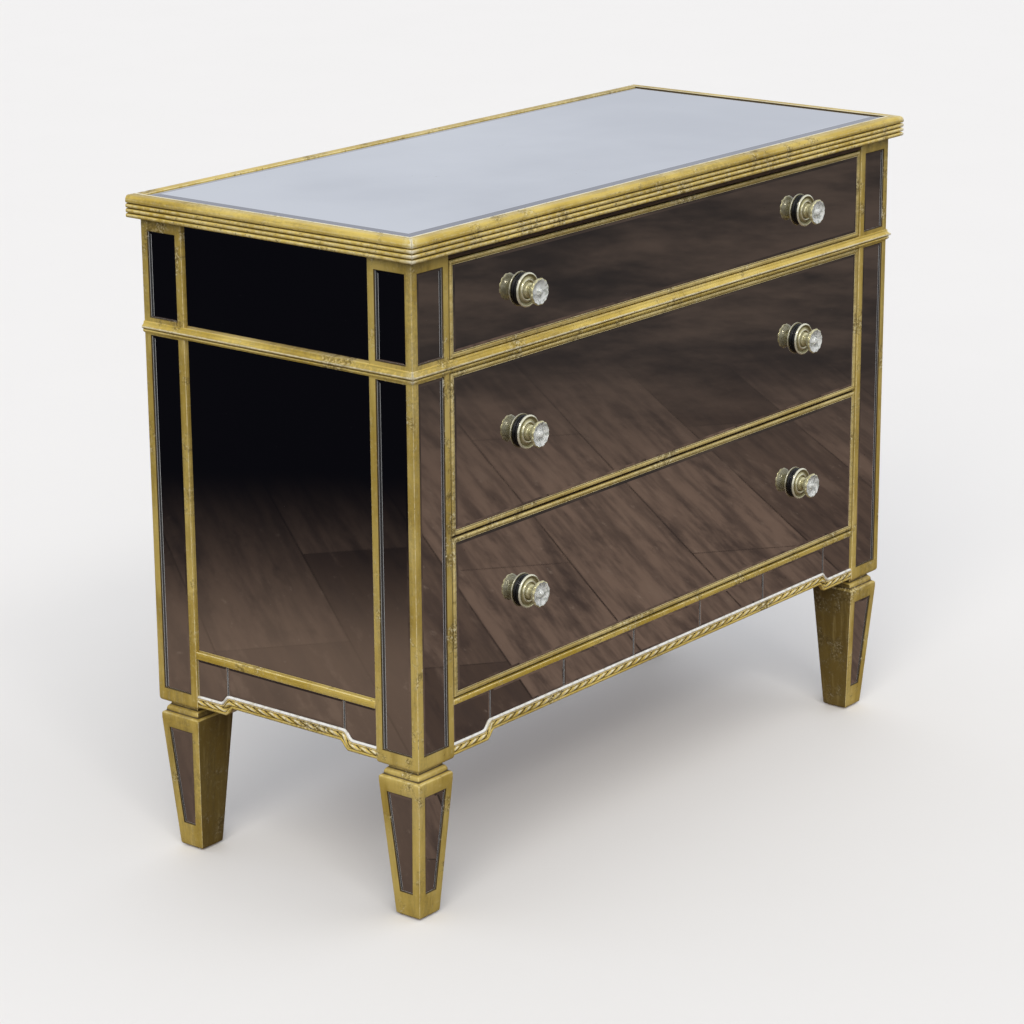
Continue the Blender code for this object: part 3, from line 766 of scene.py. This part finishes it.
def apron(name, half, turn, top, joints, to_world):
    """One apron: its board, gilt strip, carving, slip and the mirrors parted at the joints."""
    counts = (max(4, round((half - turn) / 0.0014)), 12, round(turn / 0.0014))
    lower = scallop(half, turn - LEAD, APRON_LOW, counts)
    upper = scallop(half, turn, APRON_GLASS_LOW, counts)

    coarse = scallop(half, turn - LEAD, (APRON_LOW[0] + 0.0006, APRON_LOW[1] + 0.0006), (1, 12, 1))
    outline = coarse + [(half, top), (-half, top)]
    bm = bmesh.new()
    skin(bm, [[bm.verts.new(to_world(a, z, c)) for a, z in outline] for c in (APRON_SEAT, APRON_THICK)])
    mark_edges_worn_and_lit(bm)
    finish_piece(name + "_board", bm, [GOLD], "case", [name])

    low_corner = to_world(-half, APRON_STRIP, APRON_SEAT)
    high_corner = to_world(half, top, 0.0)
    corners = [[f(p, q) for p, q in zip(low_corner, high_corner)] for f in (min, max)]
    rounded_block(name + "_strip", *corners, 0.0010, GOLD, "gold_leaf")

    # The carved moulding: at each station its section runs from the lower edge up to the glass.
    # The marks paint the twist's crests and the rounds of its fillet and crown bright, worn and with a
    # painted highlight, and the hollows dark with painted shade.
    fillet = [(0.00, APRON_SEAT, 0.0), (0.00, 0.0030, 0.0), (0.02, 0.0020, 0.4), (0.08, 0.0013, 0.7),
              (0.17, 0.0012, 0.3), (0.22, 0.0017, -0.2), (0.25, 0.0030, -1.0)]
    crown = [(0.64, 0.0030, -1.0), (0.67, 0.0016, 0.0), (0.70, 0.0010, 0.9), (0.74, 0.0009, 0.9),
             (0.77, 0.0014, 0.2), (0.79, 0.0017, -0.5), (0.79, APRON_SEAT, 0.0)]
    bm = bmesh.new()
    rings = []
    travelled = 0.0
    for number, ((a0, z0), (a1, z1)) in enumerate(zip(lower, upper)):
        if number:
            travelled += math.dist(lower[number - 1], lower[number])
        section = list(fillet)
        for step in range(1, 12):
            angle = math.radians(-90 + 15 * step)
            phase = travelled / TWIST_PITCH - 0.42 * math.sin(angle)
            strand = abs(math.cos(math.pi * phase))
            bulge = 0.0034 * math.cos(angle) ** 0.7 * (0.42 + 0.58 * strand ** 0.6)
            worn = -1.0 if strand < 0.30 else min(1.0, (strand - 0.30) * 1.6 - 0.15)
            section.append((0.445 + 0.195 * math.sin(angle), 0.0034 - bulge, worn))
        rings.append(ring_with_wear_and_light(bm, [
            (*to_world(a0 + (a1 - a0) * share, z0 + (z1 - z0) * share, depth), worn)
            for share, depth, worn in section + crown]))
    skin(bm, rings)
    finish_piece(name + "_carving", bm, [GOLD], "case", sharp=50)

    # The slip: a small sloping fillet between the carving and the glass.
    bm = bmesh.new()
    slope = [(0.795, APRON_SEAT - 0.0004), (0.795, 0.0011), (0.83, 0.0007), (0.88, 0.0008), (0.97, 0.0016),
             (1.00, 0.0021), (1.00, APRON_SEAT - 0.0004)]
    stations = zip(lower[::3] + lower[-1:], upper[::3] + upper[-1:])
    skin(bm, [[bm.verts.new(to_world(a0 + (a1 - a0) * share, z0 + (z1 - z0) * share, depth))
               for share, depth in slope] for (a0, z0), (a1, z1) in stations])
    finish_piece(name + "_slip", bm, [SLIP], "case", sharp=50)

    # The mirrors: their lower edges follow the scallop, and a dark hairline parts them.
    edge = scallop(half, turn, APRON_GLASS_LOW, (1, 8, 1))

    def edge_height(a):
        for (x0, h0), (x1, h1) in zip(edge, edge[1:]):
            if x0 <= a <= x1:
                return h0 + (h1 - h0) * (a - x0) / max(x1 - x0, 1e-9)
        return edge[-1][1]

    cuts = [-half] + joints + [half]
    top_edge = APRON_STRIP - 0.0005
    for number, (start, stop) in enumerate(zip(cuts, cuts[1:]), 1):
        start, stop = start + PANE_GAP, stop - PANE_GAP
        inside = [a for a, _ in edge if start < a < stop]
        steps = [start] + inside + [stop]
        outer = [(a, edge_height(a) + JOINT_PLAY) for a in steps] + [(stop, top_edge), (start, top_edge)]
        held = [min(max(a, start + TRIM), stop - TRIM) for a in steps]
        inner = [(a, edge_height(b) + TRIM) for a, b in zip(held, steps)]
        inner += [(stop - TRIM, top_edge - TRIM), (start + TRIM, top_edge - TRIM)]
        replaced = [name.replace("apron", "apron_mirror")] if number == 1 else []
        edges = [(0, 0, 0)] * (len(outer) - 3) + [(0, 0, 2), (0, 0, 0), (0, 0, 2)]
        bevelled_glass(f"{name}_pane_{number}", outer, inner, to_world, APRON_GLASS, BEVEL_DROP,
                       GLASS, ONE_BEVEL, replaced, strips=edges)


POST_WIDTH = 2 * POST_HALF
apron("apron_front", SIDE - POST_WIDTH - JOINT_PLAY, 0.3725, 0.2785,
      [-0.3725, -0.2235, -0.0745, 0.0745, 0.2235, 0.3725], front_face())
side_half = (BACK - FRONT) / 2 - POST_WIDTH - JOINT_PLAY
for side, sign in SIDES.items():
    to_side = side_face(sign, (FRONT + BACK) / 2)
    apron("apron_" + side, side_half, 0.0975, 0.2815, [-0.0980, 0.0980], to_side)

# ========================
# Carcase: gilt rails that show between the drawers, plain wooden boards and runners inside,
# and a painted panel pinned into the back.
# Dark brown paint used as painted shade: on the top rail in the shadow under the rim, and on the drawer
# cores, whose edges show as dark lines in the gaps.
PAINTED_SHADE_BROWN = plain_paint("dark_ground", (0.050, 0.026, 0.012), (0.105, 0.060, 0.025), (1.0, 5.0), (0.35, 0.7),
                   (70.0, 0.45, 0.7), 0.0, (8.0, 30.0, 160.0))
# The top rail is painted dark brown: painted shade under the rim's overhang.
dressed("dark_top_rail", "top_rail", 0.0008, PAINTED_SHADE_BROWN, "gold_leaf")
dressed("gilt_waist_rail", "waist_rail", 0.0008, GOLD, "gold_leaf")
for side in SIDES:
    dressed(f"drawer_runner_{side}", f"runner_{side}", 0.0008, WOOD_Y, "inner_wood")
dressed("painted_back", "back_panel", 0.0006, BACK_PAINT, "backing")
for name in ("dust_board", "base_panel"):
    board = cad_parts[name]
    board.data.materials.clear()
    board.data.materials.append(WOOD_X)

STEEL = plain_paint("steel", (0.48, 0.46, 0.42), (0.30, 0.27, 0.23), (220.0, 5.0), None,
                    (90.0, 0.25, 0.5), 1.0)


def turned(bm, profile, sides, matrix):
    """Adds a solid turned about local Z from (radius, height, mark) points, radius 0 at a pole; the mark
    gives rubbing and painted light.
    """
    rings = []
    for radius, height, *worn in profile:
        turns = [math.tau * i / sides for i in range(sides if radius else 1)]
        spots = [matrix @ Vector((radius * math.cos(a), radius * math.sin(a), height)) for a in turns]
        rings.append(ring_with_wear_and_light(bm, [(*spot, worn[0] if worn else 0.0) for spot in spots]))
    for lower, upper in zip(rings, rings[1:]):
        for i in range(sides):
            j = (i + 1) % sides
            corners = [ring[k % len(ring)] for ring, k in ((lower, i), (lower, j), (upper, j), (upper, i))]
            bm.faces.new(list(dict.fromkeys(corners)))


PIN = [(0, -0.0010), (0.0030, -0.0010), (0.0030, 0.0002), (0.0024, 0.0009), (0.0012, 0.0012), (0, 0.0013)]
PIN_INSET = 0.012
BACKWARDS = Matrix.Rotation(-math.pi / 2, 4, "X")
panel_low, panel_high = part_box("back_panel")
left, right = panel_low.x + PIN_INSET, panel_high.x - PIN_INSET
foot, head = panel_low.z + PIN_INSET, panel_high.z - PIN_INSET
spots = [(left + (right - left) * i / 8, z) for i in range(9) for z in (foot, head)]
spots += [(x, foot + (head - foot) * i / 5) for i in range(1, 5) for x in (left, right)]
bm = bmesh.new()
for x, z in spots:
    turned(bm, PIN, 12, Matrix.Translation((x, panel_high.y, z)) @ BACKWARDS)
finish_piece("back_pins", bm, [STEEL], "case")

# ========================
# Drawer fronts: a wooden board with a gilt bead mitred round a sheet of bevelled mirror.
LEVELS = ("upper", "middle", "lower")
DRAWER_FACE = 0.0012                 # the glass lies this far behind the posts' faces
BEAD_DEPTH = 0.0055
BEAD_GOLD = gold_leaf("gold_leaf_bead", (7.0, 7.0, 190.0), (0.480, 0.360, 0.105), (0.640, 0.515, 0.200))
# Third numbers: the rounds are painted bright, worn and with a painted highlight, and the hollows dark,
# glazing with painted shade.
bead = [
    (0.0000, 0.0054, -1.0), (0.0000, 0.0024, -0.8), (0.0002, 0.0014, 0.1), (0.0007, 0.0007, 0.4),
    (0.0016, 0.0002, 0.6), (0.0027, 0.0000, 0.2), (0.0037, 0.0003, 0.0), (0.0046, 0.0009, 0.0),
    (0.0051, 0.0017, -0.6), (0.0053, 0.0022, -1.0), (0.0056, 0.0016, 0.0), (0.0059, 0.0012, 0.9),
    (0.0063, 0.0013, 0.9), (0.0066, 0.0020, -0.6), (0.0066, 0.0054, -1.0),
]
for level in LEVELS:
    body = "drawer_" + level
    low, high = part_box("drawer_front_" + level)
    # The core is painted dark brown so that its edges show as painted shade in the gaps between the
    # drawers.
    rounded_block(f"drawer_core_{level}", (low.x, low.y + BEAD_DEPTH, low.z), high, 0.0008, PAINTED_SHADE_BROWN,
                  "gold_leaf", ["drawer_front_" + level], body)
    bm = bmesh.new()
    rings = []
    for sign_x, sign_z in ((-1, -1), (1, -1), (1, 1), (-1, 1)):
        x = high.x if sign_x > 0 else low.x
        z = high.z if sign_z > 0 else low.z
        rings.append(ring_with_wear_and_light(bm, [(x - sign_x * inwards, low.y + depth, z - sign_z * inwards, worn)
                                    for inwards, depth, worn in bead]))
    skin(bm, rings, closed=True)
    finish_piece(f"drawer_bead_{level}", bm, [BEAD_GOLD], body, sharp=40)
    low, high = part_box("drawer_mirror_" + level)
    outlines = frame_outlines((low.x, low.z), (high.x, high.z), SHEET_BEVEL)
    bevelled_glass(f"drawer_sheet_{level}", *outlines, front_face(), DRAWER_FACE, BEVEL_DROP, GLASS,
                   ALL_SILVER, ["drawer_mirror_" + level], body)

# ========================
# Drawer boxes: pine sides, back and inner front dovetailed at the corners, with a thin
# bottom let into them.  They slide on the dust board, the runners and the base.
BOX_WALL = 0.012
BOX_FLOOR = 0.008
PIN_SLOPE = 0.0016
FINGER_PLAY = 0.00005
HAIR = 0.0002                        # a gap too small to see


def comb(low, high, count, slope):
    """Heights that part a corner into fingers, and the way each cut slopes."""
    cuts = [low + (high - low) * (i + 1) / (2 * count + 1) for i in range(2 * count)]
    return [(cut, slope if i % 2 else -slope) for i, cut in enumerate(cuts)]


for level in LEVELS:
    body = "drawer_" + level
    low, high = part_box("drawer_box_" + level)
    fingers = comb(low.z, high.z, 2 if level == "upper" else 4, PIN_SLOPE / 2)
    for side, sign in SIDES.items():
        # A side: tails at both ends, wider at the tip than at the root.
        near, far = low.y, high.y
        outline = []
        for y, root in ((near, near + BOX_WALL), (far, far - BOX_WALL)):
            edge = [(root, low.z)]
            at_tip = False
            for cut, slope in fingers:
                here, there = (y, root) if at_tip else (root, y)
                shift = {y: -slope, root: slope}
                edge.append((here, cut + shift[here]))
                edge.append((there, cut + shift[there]))
                at_tip = not at_tip
            edge.append((root, high.z))
            outline.append(edge)
        ring = outline[0] + outline[1][::-1]
        xs = (sign * high.x, sign * (high.x - BOX_WALL))
        bm = bmesh.new()
        skin(bm, [[bm.verts.new((x, y, z)) for y, z in ring] for x in xs])
        replaced = ["drawer_box_" + level] if side == "left" else []
        finish_piece(f"box_side_{level}_{side}", bm, [WOOD_Y], body, replaced, 20)
    for board, near in (("front", low.y), ("back", high.y - BOX_WALL)):
        # An end: pins between the tails, narrower on the outer face.
        rings = []
        for y in (near, near + BOX_WALL):
            outward = (y == near) == (board == "front")
            shape = []
            for sign in (-1, 1):
                tip, root = sign * high.x, sign * (high.x - BOX_WALL - FINGER_PLAY)
                edge = [(tip, low.z)]
                at_tip = True
                for cut, slope in fingers:
                    shift = -slope if outward else slope
                    step = FINGER_PLAY if at_tip else -FINGER_PLAY
                    edge.append((tip if at_tip else root, cut + shift - step))
                    edge.append((root if at_tip else tip, cut + shift - step))
                    at_tip = not at_tip
                edge.append((tip, high.z))
                shape.append(edge)
            rings.append([(x, y, z) for x, z in shape[0] + shape[1][::-1]])
        bm = bmesh.new()
        skin(bm, [[bm.verts.new(point) for point in ring] for ring in rings])
        finish_piece(f"box_{board}_{level}", bm, [WOOD_X], body, sharp=20)
    inset = BOX_WALL + HAIR
    rounded_block(f"box_bottom_{level}", (low.x + inset, low.y + inset, low.z + 0.0015),
                  (high.x - inset, high.y - inset, low.z + BOX_FLOOR), 0.0004, WOOD_X, "inner_wood",
                  (), body)

# ========================
# Knobs: a champagne-plated turned plate on a thick black washer, a dark disc that stands for
# the shaded groove behind the plate as painted shade, and a pressed crystal head foiled
# behind, dished in front round a boss and held by a lobed rim.  A screw holds them.
KNOB_X = 0.302
KNOB_STANDOFF = 0.0003
p = Paint("knob_metal")
wear = p.wear()
plated = p.mix(p.span(p.cloud(90.0, 5.0), 0.38, 0.66), (0.740, 0.690, 0.430), (0.580, 0.530, 0.280))
plated = p.mix(p.span(p.cloud(420.0, 3.0), 0.62, 0.74, 0.0, 0.4), plated, (0.30, 0.25, 0.13))
# Painted shade in the plate's recesses and a painted highlight on its rims, as the profile's third numbers
# give.
plated = p.mix(p.span(wear, -0.1, -1.0, 0.0, 0.9), plated, (0.180, 0.155, 0.055))
plated = p.mix(p.span(wear, 0.1, 1.0, 0.0, 0.9), plated, (0.900, 0.880, 0.700))
p.put("Base Color", plated)
p.put("Metallic", 0.65)
p.put("Roughness", p.span(p.cloud(130.0), 0.3, 0.7, 0.16, 0.28))
PLATE = p.material

p = Paint("crystal")
clear = p.mix(p.cloud(40.0), (0.940, 0.955, 0.940), (0.860, 0.880, 0.850))
# Grey-green flecks in the base colour: painted reflections of the cut facets.
p.put("Base Color", p.mix(p.span(p.cloud(240.0, 2.0), 0.50, 0.60, 0.0, 0.65), clear, (0.300, 0.330, 0.290)))
p.put("Roughness", 0.03)
p.put("Transmission Weight", 0.38)
p.put("IOR", 1.54)
CRYSTAL = p.material

# Near-black washer: painted shade for the shaded groove behind the plate.
PAINTED_SHADE_BLACK = plain_paint("washer", (0.003, 0.003, 0.003), (0.009, 0.009, 0.008), (300.0,), None, 0.45)
FOIL = plain_paint("crystal_foil", (0.560, 0.545, 0.390), (0.430, 0.415, 0.270), (150.0,), (0.35, 0.65),
                   (60.0, 0.24, 0.36), 0.45)
WASHER = [(0, 0.0), (0.0197, 0.0), (0.0200, 0.0004), (0.0200, 0.0037), (0.0196, 0.0042), (0, 0.0042)]
KNOB_PLATE = [               # radius, height, and 1 for a painted highlight on the rims, -1 for painted shade in the recesses
    (0, 0.0043), (0.0203, 0.0043, 0), (0.0210, 0.0045, 0), (0.0214, 0.0049, 0.5), (0.0215, 0.0055, 1),
    (0.0213, 0.0061, 1), (0.0208, 0.0066, 1), (0.0202, 0.0069, 1), (0.0196, 0.0070, 0.6),
    (0.0192, 0.0068, -0.2), (0.0189, 0.0063, -0.8), (0.0183, 0.0058, -1), (0.0172, 0.0054, -0.8),
    (0.0160, 0.0054, -0.6), (0.0150, 0.0057, -0.6), (0.0143, 0.0062, -0.4), (0.0138, 0.0069, 0.3),
    (0.0132, 0.0074, 1), (0.0124, 0.0075, 1), (0.0117, 0.0072, 0), (0.0112, 0.0066, -0.8),
    (0.0106, 0.0062, -1), (0.0100, 0.0062, -0.7), (0.0095, 0.0066, -0.3), (0.0094, 0.0074, 0),
    (0.0095, 0.0083, 0.6), (0.0094, 0.0092, 0.4), (0.0089, 0.0100, 0), (0.0081, 0.0106, 0),
    (0.0073, 0.0110, -0.4), (0.0069, 0.0115, -0.6), (0.0068, 0.0125, 0), (0, 0.0125),
]
HEAD_RINGS = [               # radius, height, and how far the rim is notched there
    (0.0066, 0.0126, 0), (0.0068, 0.0134, 0), (0.0076, 0.0142, 0), (0.0092, 0.0152, 0), (0.0116, 0.0170, 0),
    (0.0140, 0.0193, 0), (0.0157, 0.0214, 0), (0.0166, 0.0228, 0.0003), (0.0170, 0.0238, 0.0009),
    (0.0170, 0.0245, 0.0014), (0.0165, 0.0252, 0.0014), (0.0156, 0.0256, 0.0010), (0.0146, 0.0254, 0.0005),
    (0.0134, 0.0247, 0), (0.0116, 0.0234, 0), (0.0094, 0.0225, 0), (0.0072, 0.0222, 0), (0.0058, 0.0227, 0),
    (0.0051, 0.0238, 0), (0.0046, 0.0250, 0), (0.0037, 0.0262, 0), (0.0024, 0.0270, 0), (0.0010, 0.0273, 0),
]
FOILED = 7                   # how many bands of the head, from the neck up, are foiled
RIMMED = 11                  # and how many up to the end of its plated rim
LOBES = 12
LOBE_STEPS = 6
SCREW = [(0, 0.0), (0.0070, 0.0), (0.0070, 0.0008), (0.0066, 0.0010), (0.0045, 0.0010), (0.0044, 0.0024),
         (0.0036, 0.0031), (0.0018, 0.0034), (0.0010, 0.0028), (0, 0.0028)]


def crystal_head(bm, matrix):
    """A turned head whose rim is pressed into lobes round a smooth dish and boss."""
    rings = []
    around = LOBES * LOBE_STEPS
    for radius, height, notch in HEAD_RINGS:
        ring = []
        for i in range(around):
            reach = radius - notch * (1 - abs(math.sin(math.pi * i / LOBE_STEPS)) ** 0.8)
            angle = math.tau * i / around
            spot = Vector((reach * math.cos(angle), reach * math.sin(angle), height))
            ring.append(bm.verts.new(matrix @ spot))
        rings.append(ring)
    skin(bm, rings)
    bm.faces.ensure_lookup_table()
    for number, face in enumerate(bm.faces):
        band = number // around
        if band < FOILED or number == (len(rings) - 1) * around:
            face.material_index = 1
        elif band < RIMMED:
            face.material_index = 2


for level in LEVELS:
    body = "drawer_" + level
    box_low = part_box("drawer_box_" + level)[0]
    low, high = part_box("drawer_mirror_" + level)
    for side, sign in SIDES.items():
        spot = Vector((sign * KNOB_X, low.y - KNOB_STANDOFF, (low.z + high.z) / 2))
        outwards = Matrix.Translation(spot) @ Matrix.Rotation(math.pi / 2, 4, "X")
        label = f"{level}_{side}"
        for part, profile, material, replaced in (
                ("washer", WASHER, PAINTED_SHADE_BLACK, []),
                ("plate", KNOB_PLATE, PLATE, ["knob_base_" + label])):
            bm = bmesh.new()
            turned(bm, profile, 48, outwards)
            finish_piece(f"knob_{part}_{label}", bm, [material], body, replaced, 30)
        bm = bmesh.new()
        crystal_head(bm, outwards)
        finish_piece(f"knob_head_{label}", bm, [CRYSTAL, FOIL, PLATE], body,
                     ["knob_crystal_" + label], 30)
        inside = Vector((spot.x, box_low.y + BOX_WALL + HAIR, spot.z))
        bm = bmesh.new()
        turned(bm, SCREW, 24, Matrix.Translation(inside) @ BACKWARDS)
        finish_piece(f"knob_screw_{label}", bm, [STEEL], body, sharp=30)
